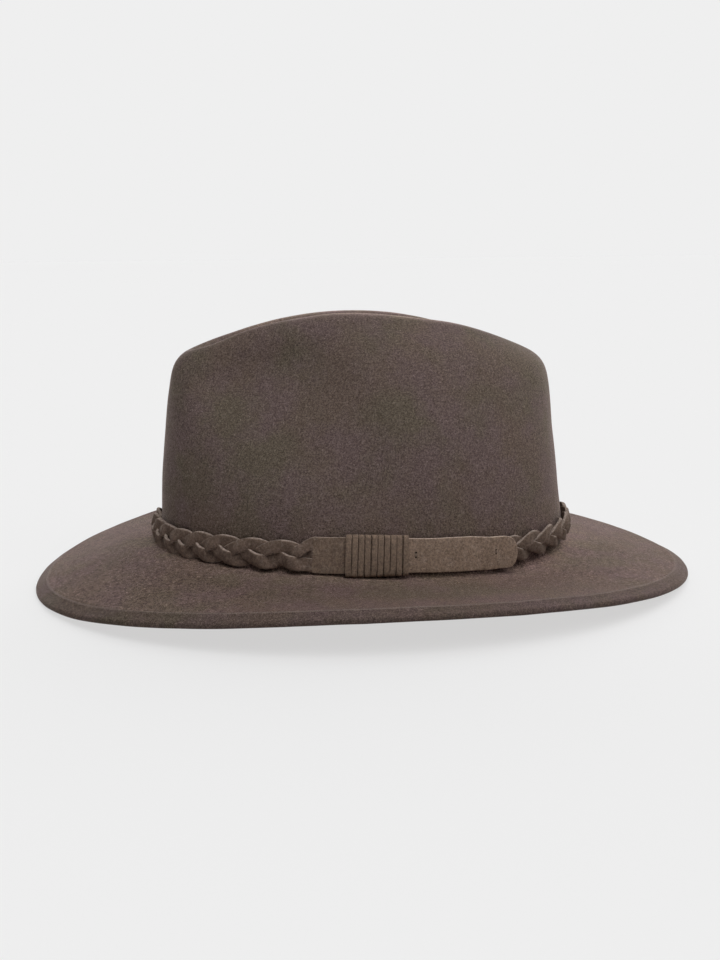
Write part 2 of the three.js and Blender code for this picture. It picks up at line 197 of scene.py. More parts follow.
def wall_point(angle, height):
    """Point on the crown's wall at a given height."""
    rings = all_rings(angle)
    above = np.full(angle.shape, float(len(CROWN_RINGS) - 2))
    below = np.full(angle.shape, float(len(CROWN_RINGS) + 1))
    for _ in range(HALVINGS):
        middle = (above + below) / 2
        high = curve_at(rings, middle)[:, 2] > height
        above, below = np.where(high, middle, above), np.where(high, below, middle)
    return curve_at(rings, (above + below) / 2)


def unit(v):
    return v / np.linalg.norm(v, axis=-1, keepdims=True)


# Angle round the crown at each place along the band
GIRTH_ANGLES = np.pi / 2 + np.linspace(0, 2 * np.pi, GIRTH_STEPS + 1)
GIRTH_POINTS = foot_point(GIRTH_ANGLES, np.zeros(GIRTH_STEPS + 1), 0)
GIRTH_PLACES = np.concatenate([[0], np.cumsum(np.linalg.norm(np.diff(GIRTH_POINTS, axis=0), axis=1))])
GIRTH = GIRTH_PLACES[-1]


def band_frames(places):
    """Origin, along, up and out of the band's middle line at each place."""
    angle = np.interp(np.mod(places, GIRTH), GIRTH_PLACES, GIRTH_ANGLES)
    middle = break_height(angle) + BRAID_RISE
    point = wall_point(angle, middle)
    up = unit(wall_point(angle, middle + WALL_ABOVE) - wall_point(angle, middle - WALL_BELOW))
    further = angle + WALL_ROUND
    along = unit(wall_point(further, break_height(further) + BRAID_RISE) - point)
    out = unit(np.cross(along, up))
    return point, along, np.cross(out, along), out


# Mesh helpers
def make_mesh(name, points, faces, attributes=()):
    mesh = bpy.data.meshes.new(name)
    mesh.from_pydata((np.asarray(points) * MM).tolist(), [], faces)
    for key, values in attributes:
        layer = mesh.attributes.new(key, "FLOAT", "POINT")
        layer.data.foreach_set("value", np.asarray(values, np.float32))
    mesh.shade_smooth()
    obj = bpy.data.objects.new(name, mesh)
    bpy.context.scene.collection.objects.link(obj)
    return obj


def grid_faces(rows, columns):
    """Faces between rows of points that run round a body."""
    faces = []
    for r in range(rows - 1):
        a, b = r * columns, (r + 1) * columns
        for c in range(columns):
            d = (c + 1) % columns
            faces.append((a + c, b + c, b + d, a + d))
    return faces


def ladder_faces(columns, offset, flip):
    """Fills a long narrow ring with rungs between its two sides."""
    faces = []
    half = columns // 2
    for c in range(half):
        quad = [c, c + 1, (columns - c - 1) % columns, (columns - c) % columns]
        quad = [offset + q for q in dict.fromkeys(quad)]
        faces.append(tuple(reversed(quad)) if flip else tuple(quad))
    return faces


ARC_STEPS = 4
ROUNDEST = 0.98  # share of half a strip's thickness or width that its corner radius may reach


def strip_section(flat_steps):
    """Outline of a flat strip, as (across -1..1, through -1..1, corner across, corner through)."""
    out = []
    for sx, sy, start in ((1, -1, -90), (1, 1, 0), (-1, 1, 90), (-1, -1, 180)):
        for k in range(ARC_STEPS + 1):
            a = math.radians(start + 90 * k / ARC_STEPS)
            out.append((sx, sy, math.cos(a), math.sin(a)))
        if sx == sy:
            for k in range(1, flat_steps):
                out.append((sx * (1 - 2 * k / flat_steps), sy, 0.0, float(sy)))
    return out


def strip(name, origin, across, through, width, thick, radius, edge_reach, flat_steps, cup=0.0):
    """Closed strip with rounded edges, one ring for each row. cup bends its edges to its inner side."""
    width = np.broadcast_to(np.asarray(width, float), (len(origin),))
    thick = np.broadcast_to(np.asarray(thick, float), (len(origin),))
    cup = np.broadcast_to(np.asarray(cup, float), (len(origin),))
    r = np.minimum(radius, np.minimum(thick / 2, width / 2) * ROUNDEST)
    points, edges = [], []
    for sx, sy, cx, cy in strip_section(flat_steps):
        if cx == 0 and abs(sx) < 1:
            a = sx * (width / 2 - r)
            t = sy * thick / 2
        else:
            a = sx * (width / 2 - r) + cx * r
            t = sy * (thick / 2 - r) + cy * r
        bend = cup * (2 * a / np.maximum(width, 1e-6)) ** 2
        points.append(origin + across * a[:, None] + through * (t - bend)[:, None])
        edges.append(1 - np.clip((width / 2 - np.abs(a)) / edge_reach, 0, 1))
    points = np.array(points).transpose(1, 0, 2)
    edges = np.array(edges).T
    rows, columns = points.shape[:2]
    faces = grid_faces(rows, columns)
    first, last = points[0].mean(0), points[-1].mean(0)
    verts = np.concatenate([points.reshape(-1, 3), [first, last]])
    count = rows * columns
    for c in range(columns):
        d = (c + 1) % columns
        faces.append((c, d, count))
        faces.append((count - columns + d, count - columns + c, count + 1))
    return make_mesh(name, verts, faces, [("edge", np.concatenate([edges.ravel(), [1, 1]]))])


# Node helpers
def new_material(name):
    material = bpy.data.materials.new(name)
    material.use_nodes = True
    tree = material.node_tree
    return material, tree, tree.nodes["Principled BSDF"]


def node(tree, kind, inputs=None, **settings):
    made = tree.nodes.new(kind)
    for key, value in settings.items():
        setattr(made, key, value)
    for key, value in (inputs or {}).items():
        if isinstance(value, bpy.types.NodeSocket):
            tree.links.new(value, made.inputs[key])
        else:
            made.inputs[key].default_value = value
    return made


def noise_at(tree, coords, scale, detail, rough):
    inputs = {"Vector": coords, "Scale": scale, "Detail": detail, "Roughness": rough}
    return node(tree, "ShaderNodeTexNoise", inputs).outputs["Fac"]


def remap(tree, value, low, high, to_low, to_high):
    inputs = {"Value": value, "From Min": low, "From Max": high, "To Min": to_low, "To Max": to_high}
    return node(tree, "ShaderNodeMapRange", inputs).outputs["Result"]


def attribute(tree, name):
    return node(tree, "ShaderNodeAttribute", attribute_name=name).outputs["Fac"]


def mix_colour(tree, factor, a, b, blend="MIX"):
    made = node(tree, "ShaderNodeMix", data_type="RGBA", blend_type=blend)
    for socket, value in ((made.inputs[0], factor), (made.inputs[6], a), (made.inputs[7], b)):
        if isinstance(value, bpy.types.NodeSocket):
            tree.links.new(value, socket)
        else:
            socket.default_value = value if isinstance(value, float) else (*value, 1.0)
    return made.outputs[2]


def maths(tree, operation, a, b):
    made = node(tree, "ShaderNodeMath", operation=operation)
    for socket, value in zip(made.inputs, (a, b)):
        if isinstance(value, bpy.types.NodeSocket):
            tree.links.new(value, socket)
        else:
            socket.default_value = value
    return made.outputs[0]


def times(tree, a, b):
    return maths(tree, "MULTIPLY", a, b)


def shaded(tree, colour, value):
    """Colour times a number."""
    inputs = {"Red": value, "Green": value, "Blue": value}
    grey = node(tree, "ShaderNodeCombineColor", inputs).outputs["Color"]
    return mix_colour(tree, 1.0, colour, grey, "MULTIPLY")


def bump(tree, height, strength, distance, normal=None):
    inputs = {"Height": height, "Strength": strength, "Distance": distance}
    if normal is not None:
        inputs["Normal"] = normal
    return node(tree, "ShaderNodeBump", inputs).outputs["Normal"]


def streaks(tree, coords, scale, stretch, count):
    """Lightest and darkest of some noises, each stretched along its own direction, as brushed fibres lie."""
    lightest = darkest = None
    for k in range(count):
        inputs = {
            "Vector": coords,
            "Rotation": (math.acos((k + 0.5) / count), 0, FIBRE_TURN * k),
            "Scale": (1, 1, stretch),
            "Location": (FIBRE_SHIFT * k, 0, 0),
        }
        turned = node(tree, "ShaderNodeMapping", inputs, vector_type="TEXTURE")
        fibre = noise_at(tree, turned.outputs["Vector"], scale, *FIBRE_NOISE)
        if k == 0:
            lightest = darkest = fibre
        else:
            lightest = maths(tree, "MAXIMUM", lightest, fibre)
            darkest = maths(tree, "MINIMUM", darkest, fibre)
    return lightest, darkest


def finish_shader(tree, shader, colour, roughness, normal, gloss):
    tree.links.new(colour, shader.inputs["Base Color"])
    tree.links.new(roughness, shader.inputs["Roughness"])
    tree.links.new(normal, shader.inputs["Normal"])
    for key, value in gloss.items():
        shader.inputs[key].default_value = value


# Felt: colours of the wool, tints of the brim and the crown, the lip's tint with painted shade, and the
# painted highlight colour of the fold
FELT_WARM, FELT_OLIVE, FELT_COOL = (0.135, 0.099, 0.082), (0.124, 0.099, 0.076), (0.14, 0.1, 0.095)
BRIM_TINT, CROWN_TINT = (0.945, 0.885, 0.865), (1.035, 1.045, 1.045)
LIP_TONE_AND_SHADE, FOLD_HIGHLIGHT_COLOUR = (0.86, 0.9, 0.92), (0.22, 0.175, 0.155)
# Noises of the nap: scale per metre, detail and roughness
FELT_NOISES = dict(
    broad=(30, 2, 0.5),
    patch=(48, 3, 0.55),
    speck=(1250, 3, 0.8),
    grain=(2400, 2, 0.7),
    brushed=(480, 4, 0.75),
)
# Brushed fibres: scale per metre, stretch and number of directions, then detail and roughness, and the turn
# and the shift from one direction to the next
FIBRES = (1250, 4, 5)
FIBRE_NOISE, FIBRE_TURN, FIBRE_SHIFT = (2, 0.6), 2.4, 0.01
# How one value follows from another: from, to, and what it is there. Heights and distances are in m.
FELT_RANGES = dict(
    olive=(0.4, 0.6, 0, 1),
    cool=(0.42, 0.66, 0, 0.9),
    speck=(0.36, 0.66, 0.68, 1.36),
    grain=(0.35, 0.65, 0.6, 1.44),
    lightest=(0.6, 0.74, 1, 1.55),
    darkest=(0.27, 0.41, 0.62, 1),
    crown_by_height=(0.018, 0.045, 0, 1),
    close_by_lip=(0, 1, 0, 0.8),
    contrast=(0, 1, 1.3, 0.88),
    brushed=(0.36, 0.64, 0.7, 1.38),
    coarse_by_place=(0.05, 0.11, 0.5, 1.15),
    coarse_by_nap=(0, 1, 1, 0.3),
    # painted shade where the rim turns under
    painted_rim_shade=(1, 1.8, 1, 0.55),
    # painted light next to the band and painted highlight along the two ridges
    pale=(0, 2.4, 1, 2.8),
    # painted highlight along the fold, broken up by the nap
    worn=(0.3, 0.6, 0.25, 0.9),
    roughness=(0.3, 0.7, 0.82, 1),
)
# Bumps: strength and depth in m
FELT_BUMPS = dict(fibres=(0.35, 0.0004), speck=(0.45, 0.0004), grain=(0.4, 0.0002), patch=(0.2, 0.001))
FELT_GLOSS = {
    "Specular IOR Level": 0.05,
    "Sheen Weight": 0.38,
    "Sheen Roughness": 0.25,
    "Sheen Tint": (0.95, 0.78, 0.73, 1),
}


def felt_material():
    material, tree, shader = new_material("brushed_wool_felt")
    coords = node(tree, "ShaderNodeTexCoord").outputs["Object"]
    place_of = node(tree, "ShaderNodeSeparateXYZ", {"Vector": coords})
    nap = {key: noise_at(tree, coords, *values) for key, values in FELT_NOISES.items()}
    nap["lightest"], nap["darkest"] = streaks(tree, coords, *FIBRES)

    def ranged(value, key):
        return remap(tree, value, *FELT_RANGES[key])

    colour = mix_colour(tree, ranged(nap["broad"], "olive"), FELT_WARM, FELT_OLIVE)
    colour = mix_colour(tree, ranged(nap["patch"], "cool"), colour, FELT_COOL)
    shade = 1.0
    for key in ("speck", "grain", "lightest", "darkest"):
        shade = times(tree, shade, ranged(nap[key], key))
    # the nap is close on the crown and the lip, and coarse on the brim, most at its front and back
    crown = ranged(place_of.outputs["Z"], "crown_by_height")
    lip = attribute(tree, "lip")
    close = maths(tree, "MAXIMUM", crown, ranged(lip, "close_by_lip"))
    shade = maths(tree, "POWER", shade, ranged(close, "contrast"))
    from_middle = maths(tree, "ABSOLUTE", place_of.outputs["Y"], 0.0)
    coarse = times(tree, ranged(from_middle, "coarse_by_place"), ranged(close, "coarse_by_nap"))
    shade = times(tree, shade, maths(tree, "POWER", ranged(nap["brushed"], "brushed"), coarse))
    colour = shaded(tree, colour, shade)
    # the brim is redder than the crown; the lip is darker, partly its own greyer tone and partly painted
    # shade, and painted shade darkens the rim most
    tint = mix_colour(tree, crown, BRIM_TINT, CROWN_TINT)
    colour = mix_colour(tree, 1.0, colour, tint, "MULTIPLY")
    colour = mix_colour(tree, lip, colour, mix_colour(tree, 1.0, colour, LIP_TONE_AND_SHADE, "MULTIPLY"))
    colour = shaded(tree, colour, ranged(lip, "painted_rim_shade"))
    # painted light next to the band, against its shade, and painted highlight along the two ridges
    colour = shaded(tree, colour, ranged(attribute(tree, "pale"), "pale"))
    # painted highlight along the fold line, broken up by the nap
    worn = times(tree, attribute(tree, "fold"), ranged(nap["speck"], "worn"))
    colour = mix_colour(tree, worn, colour, FOLD_HIGHLIGHT_COLOUR)
    normal = bump(tree, nap["lightest"], *FELT_BUMPS["fibres"])
    for key in ("speck", "grain", "patch"):
        normal = bump(tree, nap[key], *FELT_BUMPS[key], normal)
    finish_shader(tree, shader, colour, ranged(nap["speck"], "roughness"), normal, FELT_GLOSS)
    return material


# Suede, in the same terms
SUEDE_NOISES = dict(
    patch=(160, 4, 0.6),
    grain=(900, 4, 0.75),
    nap=(2800, 2, 0.6),
    scuffs=(330, 5, 0.65),
)
SUEDE_RANGES = dict(
    patch=(0.35, 0.65, 0, 1),
    scuffs=(0.5, 0.68, 0, 0.22),
    cut_by_edge=(0.35, 1, 0, 0.95),
    cut_by_grain=(0.3, 0.6, 0.6, 1),
    light=(0.36, 0.66, 0, 1),
    nap=(0.35, 0.65, 0, 1),
    roughness=(0.3, 0.7, 0.78, 1),
)
DARK_PATCH, PALE_PATCH = 0.93, 1.07
DARK_GRAIN, LIGHT_GRAIN = (0.68, 0.68, 0.68), (1.35, 1.33, 1.31)
DARK_NAP, LIGHT_NAP = (0.8, 0.8, 0.8), (1.25, 1.24, 1.23)
BEHIND = (-0.026, 0)  # along Y, in m, where a piece takes on its rear half's look: a paler tone on the strap, painted shade on the braid
SUEDE_BUMPS = dict(grain=(0.6, 0.0004), nap=(0.5, 0.0002))
SUEDE_GLOSS = {
    "Specular IOR Level": 0.06,
    "Sheen Weight": 0.1,
    "Sheen Roughness": 0.35,
    "Sheen Tint": (1, 0.86, 0.75, 1),
}


def suede_material(name, colour, edge_colour, rear_tone_and_painted_shade=1.0):
    material, tree, shader = new_material(name)
    coords = node(tree, "ShaderNodeTexCoord").outputs["Object"]
    nap = {key: noise_at(tree, coords, *values) for key, values in SUEDE_NOISES.items()}

    def ranged(value, key):
        return remap(tree, value, *SUEDE_RANGES[key])

    dark = tuple(c * DARK_PATCH for c in colour)
    pale = tuple(c * PALE_PATCH for c in colour)
    base = mix_colour(tree, ranged(nap["patch"], "patch"), dark, pale)
    base = mix_colour(tree, ranged(nap["scuffs"], "scuffs"), base, edge_colour)
    cut = ranged(attribute(tree, "edge"), "cut_by_edge")
    worn = mix_colour(tree, times(tree, cut, ranged(nap["grain"], "cut_by_grain")), base, edge_colour)
    # towards the back the strap turns paler in its own tone and the braid darker with painted shade
    behind = node(tree, "ShaderNodeSeparateXYZ", {"Vector": coords}).outputs["Y"]
    worn = shaded(tree, worn, remap(tree, behind, *BEHIND, 1, rear_tone_and_painted_shade))
    light = mix_colour(tree, ranged(nap["grain"], "light"), DARK_GRAIN, LIGHT_GRAIN)
    fine = mix_colour(tree, ranged(nap["nap"], "nap"), DARK_NAP, LIGHT_NAP)
    mottled = mix_colour(tree, 1.0, mix_colour(tree, 1.0, worn, light, "MULTIPLY"), fine, "MULTIPLY")
    normal = bump(tree, nap["grain"], *SUEDE_BUMPS["grain"])
    normal = bump(tree, nap["nap"], *SUEDE_BUMPS["nap"], normal)
    finish_shader(tree, shader, mottled, ranged(nap["grain"], "roughness"), normal, SUEDE_GLOSS)
    return material


def place(obj, material, slot, *nodes):
    obj.data.materials.clear()
    obj.data.materials.append(material)
    if nodes:
        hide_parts(*nodes)
    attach(obj, "root")


# Felt: columns round it, and rows that close the crease's floor, as shares of its width, with its sag
COLUMNS = 330
FLOOR_SHARES, FLOOR_SAG = (0.2, 0.45, 0.72), 0.5
LIP_REACH = (FOLD_INSET - 0.6, FOLD_INSET + 0.1)
# Painted light: paler felt outside the band, against the shade that falls there: distances over which it sets
# in, thins out and ends, and how much it thins
PAINTED_LIGHT_REACHES, PAINTED_LIGHT_THINNING = ((0.2, 1.2), (3.5, 8), (8, 24)), 0.6
# Painted highlight along the two ridges: strength, width, and its reach along Y
RIDGE_HIGHLIGHT = dict(most=2.25, width=2.6, reach=60)
# Hand-shaped unevenness: size, height and shift of each noise
UNEVEN = [(34, 0.42, (0, 0, 0)), (13, 0.13, (9, 3, 5))]
RIM_STEPS, RIM_ROWS = 10, 4  # round the rim, and rows over which the felt thickens to it


def upper_face(rings):
    """Rows of points on the felt's upper face, from the middle of the crease to the rim."""
    steps = [ring[-1] for ring in CROWN_RINGS + FILLET_TURNS + BRIM_RINGS]
    shares = [i + k / steps[i] for i in range(LAST) for k in range(steps[i])] + [LAST]
    upper = np.array([curve_at(rings, u) for u in shares])
    inner = []
    for share in FLOOR_SHARES:
        row = upper[0].copy()
        row[:, 0] *= share
        row[:, 2] -= FLOOR_SAG * (1 - share**2)
        inner.append(row)
    return np.concatenate([np.array(inner), upper])


def felt():
    upper = upper_face(all_rings(2 * np.pi * np.arange(COLUMNS) / COLUMNS))
    # the ridge on the wearer's left
    crest = upper[..., 2].argmax(axis=0)
    x, y, z = upper[crest, np.arange(COLUMNS)].T
    share = smoothstep(y, *LEFT_RISE["front"]) - smoothstep(y, *LEFT_RISE["back"])
    higher = LEFT_RISE["height"] * share * smoothstep(x, *LEFT_RISE["side"])
    upper[..., 2] += higher * smoothstep(upper[..., 2] - z, *LEFT_RISE["below"])
    down = np.gradient(upper, axis=0)
    around = np.roll(upper, -1, axis=1) - np.roll(upper, 1, axis=1)
    out = unit(np.cross(down, around))
    down = unit(np.cross(around, out))
    # how far each point lies from the rim, and with it the fold line and the lip outside it
    lengths = np.linalg.norm(np.diff(upper, axis=0, append=upper[-1:]), axis=2)
    inset = np.cumsum(lengths[::-1], axis=0)[::-1] + BRIM_RINGS[-1][1]
    fold = np.exp(-(((inset - FOLD_INSET) / FOLD_WIDTH) ** 2))
    lip = 1 - smoothstep(inset, *LIP_REACH)
    # painted light: paler next to the band, where less light falls, and a painted highlight along the two
    # ridges
    across = upper[..., 0] * CROWN_LENGTH / CROWN_WIDTH
    outward = np.hypot(across, upper[..., 1] - CROWN_Y) - CROWN_LENGTH / 2
    sets_in, thins, ends = (smoothstep(outward, *reach) for reach in PAINTED_LIGHT_REACHES)
    pale = sets_in * (1 - PAINTED_LIGHT_THINNING * thins) * (1 - ends)
    from_crest = (inset - inset[crest, np.arange(COLUMNS)]) / RIDGE_HIGHLIGHT["width"]
    pale += np.exp(-(from_crest**2)) * np.exp(-((y / RIDGE_HIGHLIGHT["reach"]) ** 2)) * RIDGE_HIGHLIGHT["most"]
    upper += out * (FOLD_RIDGE * fold)[..., None]
    # hand-shaped unevenness
    for r in range(len(upper)):
        for c in range(COLUMNS):
            point = Vector(upper[r, c])
            wave = sum(noise.noise(point / size + Vector(shift)) * rise for size, rise, shift in UNEVEN)
            upper[r, c] += out[r, c] * wave
    # walls that thicken to the rounded rim
    thick = np.full(len(upper), float(FELT))
    thick[-RIM_ROWS:] = np.linspace(FELT, RIM, RIM_ROWS)
    rim = []
    for turn in np.radians(np.linspace(0, 180, RIM_STEPS + 1)[1:-1]):
        lower = out[-1] * (RIM / 2 * (math.cos(turn) - 1))
        rim.append(upper[-1] + lower + down[-1] * (RIM / 2 * math.sin(turn)))
    under = (upper - out * thick[:, None, None])[::-1]
    rows = np.concatenate([upper, np.array(rim), under])
    rows[..., 2] = np.maximum(rows[..., 2], 0)
    faces = grid_faces(len(rows), COLUMNS)
    faces += ladder_faces(COLUMNS, 0, False)
    faces += ladder_faces(COLUMNS, (len(rows) - 1) * COLUMNS, True)
    # the lip's darkening, partly its own tone and partly painted shade, grows into painted shade round the
    # rim as it turns under, and the underside is plain
    plain_under = np.zeros_like(inset)
    plain_rim = np.zeros((len(rim), COLUMNS))
    painted_rim_shade = plain_rim + np.linspace(1, 2, len(rim))[:, None]
    layers = []
    for key, above, edge in (("fold", fold, plain_rim), ("lip", lip, painted_rim_shade), ("pale", pale, plain_rim)):
        layers.append((key, np.concatenate([above, edge, plain_under]).ravel()))
    return make_mesh("felt", rows.reshape(-1, 3), faces, layers)


# Strap: places along it, with its lower and upper edge above the band's lower edge and its lift off the felt
STRAP_THICK = 1.6
STRAP_ROWS = np.array([
    (SPLIT_AT, -0.9, 15.7, 1.25),
    (SPLIT_AT + 6, -0.9, 15.7, 1.3),
    (WRAP_FROM - 2, -0.6, 16.1, 2.25),
    (WRAP_TO + 5, 0.9, 16.5, 2.3),
    (TAB_END - 26, 1.0, 17.0, 2.4),
    (TAB_END - 10, 1.0, 16.2, 3.7),
    (TAB_END - 3, 0.8, 16.2, 5.5),
    (TAB_END, 0.8, 16.2, 5.6),
])
STRAP_STEP, TAB_STEPS = 0.7, 15
# The tab rounds off about this height, a little more squarely below than above, and stops just short of its
# full length
TAB_CORE, TAB_TOP, TAB_FOOT, TAB_SHARE = 8.5, 2.2, 2.6, 0.985
# Cut edges waver: length of the waves, height, and seed
STRAP_WAVES = dict(low=(9, 0.16, 3), high=(9, 0.18, 8))


def strap_row(places):
    at = STRAP_ROWS[:, 0]
    k = np.clip(np.searchsorted(at, places, side="right") - 1, 0, len(at) - 2)
    share = smoothstep(places, at[k], at[k + 1])[:, None]
    low, high, lift = (STRAP_ROWS[k, 1:] * (1 - share) + STRAP_ROWS[k + 1, 1:] * share).T
    return low, high, lift


def wavering(places, scale, amount, seed):
    return np.array([noise.noise(Vector((p / scale, seed, 0.5 * seed))) for p in places]) * amount


def strap():
    round_from = TAB_END - TAB_ROUND
    turns = np.linspace(0, TAB_SHARE * math.pi / 2, TAB_STEPS + 1)
    flat = [[SPLIT_AT, SPLIT_AT + 0.05], np.arange(SPLIT_AT + STRAP_STEP, round_from, STRAP_STEP)]
    places = np.concatenate([*flat, round_from + TAB_ROUND * np.sin(turns)])
    point, along, up, out = band_frames(places)
    low, high, lift = strap_row(places)
    low = low + wavering(places, *STRAP_WAVES["low"])
    high = high + wavering(places, *STRAP_WAVES["high"])
    past = np.clip((places - round_from) / TAB_ROUND, 0, 1)
    high = TAB_CORE + (high - TAB_CORE) * (1 - past**TAB_TOP) ** (1 / TAB_TOP)
    low = TAB_CORE - (TAB_CORE - low) * (1 - past**TAB_FOOT) ** (1 / TAB_FOOT)
    half, middle = (high - low) / 2, (high + low) / 2
    origin = point + up * (middle - BRAID_RISE)[:, None] + out * (lift + STRAP_THICK / 2)[:, None]
    return strip("strap", origin, up, out, 2 * half, STRAP_THICK, radius=0.35, edge_reach=0.4, flat_steps=16)


# Stitches: place along the strap, and height of the upper and the lower hole
STITCHES = [(5.05, 10.0, 7.9), (44.7, 10.0, 8.3)]
HOLE = dict(radius=0.5, rise=0.03, sides=12)
# The thread runs from just below one hole to just above the other, in a low arch that starts in the suede
THREAD = dict(thick=0.4, radius=0.19, reach=(0.12, 0.88), steps=12, arch=0.3, sunk=0.16)


def lens(centre, along, up, out):
    """Painted shade of a small round hole, as a dark flat lens let into the suede."""
    sides, radius, rise = HOLE["sides"], HOLE["radius"], HOLE["rise"]
    rings = [centre + out * rise]
    for lift in (0, -2):
        for k in range(sides):
            turn = 2 * math.pi * k / sides
            rings.append(centre + (along * math.cos(turn) + up * math.sin(turn)) * radius + out * rise * lift)
    rings.append(centre - out * rise * 4)
    faces = [(0, 1 + k, 1 + (k + 1) % sides) for k in range(sides)]
    for k in range(sides):
        d = (k + 1) % sides
        faces.append((1 + k, 1 + sides + k, 1 + sides + d, 1 + d))
        faces.append((1 + sides + k, 1 + 2 * sides, 1 + sides + d))
    return rings, faces


def stitch_spot(place, rise):
    """Point on the strap's face with the directions along, up and out there."""
    at = np.array([float(place)])
    point, along, up, out = band_frames(at)
    lift = strap_row(at)[2][0] + STRAP_THICK
    return point[0] + up[0] * (rise - BRAID_RISE) + out[0] * lift, along[0], up[0], out[0]


def stitch_holes():
    points, faces = [], []
    for place, high, low in STITCHES:
        for rise in (high, low):
            rings, around = lens(*stitch_spot(place, rise))
            faces += [tuple(len(points) + v for v in face) for face in around]
            points += rings
    return make_mesh("stitch_holes", points, faces)


def stitch_thread(index):
    place, high, low = STITCHES[index]
    shares = np.linspace(*THREAD["reach"], THREAD["steps"] + 1)
    spots = [stitch_spot(place, high + (low - high) * share) for share in shares]
    point, along, up, out = (np.array(part) for part in zip(*spots))
    arch = THREAD["arch"] * np.sin(np.pi * shares) - THREAD["sunk"]
    origin = point + out * arch[:, None]
    return strip(f"stitch_{index + 1}", origin, along, out, THREAD["thick"], THREAD["thick"],
                 radius=THREAD["radius"], edge_reach=0.3, flat_steps=1)


# Braid: section of a strand, its sway up and down, its weave in and out, and its roll in degrees. Lengths
# are travelled from the strap's split round the crown to the tab.
STRAND = dict(width=6.4, thick=1.9, sway=3.85, weave=1.35, roll=15, lag=46)
BRAID_LIFT, BRAID_STEPS, BRAID_ROWS = 2.7, 148.2, 760
INSIDE = 2.0  # length of a strand that starts inside the strap
# Some crossings lie closer together than others: mean slack, its swing, where that starts and how often it
# comes, and the length over which slack sets in
SLACK = dict(mean=1.2, swing=1.6, at=28, every=110, sets_in=(0, 20))
# The plait sags towards the brim at the front, and is drawn narrower and higher at the rear, whose place is
# measured back from the plait's end
SINK = dict(all_round=0.8, past_start=0.8, front=1.3, rear=2.7)
PAST_START, FRONT_BEGINS, FRONT_ENDS, REAR_BEGINS = (15, 45), (45, 75), (140, 190), (130, 85)
REAR_NARROWER = 0.1
# At both ends the strands lie side by side: length to the weave, distances between them, and lift
BLEND, START_PITCH, END_PITCH, START_LIFT, END_LIFT = 6.5, 4.8, 5.25, 2.05, 1.65
START = dict(length=7, shift=0.9, thick=1.58, outer=6.1, middle=3.9)
# Next to the strap they pass over each other a little earlier, in degrees
EARLY, EARLY_FADE = 24, (14, 40)
# The middle one dives between the outer two and goes under them at once
DIVE, UNDER, DIVE_THICK, DIVE_DEPTH = (0, 2.6), (3, 9), 0.8, 1.35
LANE_STEPS = (1, 147)  # steps of the weave that tell each strand's lane at the braid's two ends
# Unevenness of each strand: length of the waves, amount, and seed of the first strand
STRAND_WAVES = dict(lift=(11, 0.25, 4), sway=(14, 0.35, 14), width=(17, 0.08, 24))


def strand(index):
    length = GIRTH - (TAB_END - SPLIT_AT) + TUCK
    travelled = np.linspace(-INSIDE, length, BRAID_ROWS)
    first_half = travelled < length / 2
    point, along, up, out = band_frames(SPLIT_AT - travelled)

    def waves(key):
        scale, amount, seed = STRAND_WAVES[key]
        return wavering(travelled, scale, amount, seed + index)

    swing = np.sin(2 * np.pi * (travelled - SLACK["at"]) / SLACK["every"])
    slack = (SLACK["mean"] + SLACK["swing"] * swing) * smoothstep(travelled, *SLACK["sets_in"])
    front = smoothstep(travelled, *FRONT_BEGINS) - smoothstep(travelled, *FRONT_ENDS)
    rear = smoothstep(travelled, length - REAR_BEGINS[0], length - REAR_BEGINS[1])
    sink = SINK["all_round"] + SINK["past_start"] * smoothstep(travelled, *PAST_START)
    sink = sink + SINK["front"] * front - SINK["rear"] * rear
    narrow = 1 - REAR_NARROWER * rear
    step = np.maximum((travelled - slack) / length * BRAID_STEPS, 1)
    phase = math.pi / 6 * (3 + 4 * index - step)
    woven = smoothstep(np.minimum(travelled, length - travelled), 0, BLEND)
    near_start = 1 - smoothstep(travelled, 0, START["length"])

    # lower, middle or upper lane of this strand at the braid's two ends: -1, 0 or 1
    lanes = [round(math.sin(math.pi / 6 * (3 + 4 * index - end))) for end in LANE_STEPS]
    lane = np.where(first_half, *lanes)
    sway = lane * np.where(first_half, START_PITCH, END_PITCH) * (1 - woven)
    sway = sway - START["shift"] * near_start * woven
    sway = sway + (STRAND["sway"] * narrow * np.sin(phase) - sink) * woven
    sway = sway + waves("sway") * woven

    early = math.radians(EARLY) * (1 - smoothstep(travelled, *EARLY_FADE))
    weave = BRAID_LIFT + STRAND["weave"] * np.sin(2 * (phase - early))
    lift = np.where(first_half, START_LIFT, END_LIFT) * (1 - woven) + weave * woven
    lift = lift + waves("lift") * woven
    roll = -math.radians(STRAND["roll"]) * np.sin(3 * phase - math.radians(STRAND["lag"])) * woven

    width = STRAND["width"] * narrow * (1 + waves("width"))
    width_at_start = START["outer"] if lanes[0] else START["middle"]
    width = width * (1 - near_start) + width_at_start * near_start
    thick = STRAND["thick"] * (1 - near_start) + START["thick"] * near_start
    if not lanes[0]:
        dive = smoothstep(travelled, *DIVE)
        under = 1 - smoothstep(travelled, *UNDER)
        thick = thick * (1 - dive * under) + DIVE_THICK * dive * under
        lift = lift * (1 - under) + (START_LIFT - DIVE_DEPTH * dive) * under
    across = up * np.cos(roll)[:, None] + out * np.sin(roll)[:, None]
    through = out * np.cos(roll)[:, None] - up * np.sin(roll)[:, None]
    origin = point + up * sway[:, None] + out * lift[:, None]
    return strip(f"strand_{index + 1}", origin, across, through, width, thick, radius=0.6,
                 edge_reach=0.45, flat_steps=8, cup=0.3 * woven)


# Lace: its section, the radius of its middle in a corner, and its gap to the strap
LACE = dict(width=2.62, thick=1.15, bend=1.0, gap=0.25)
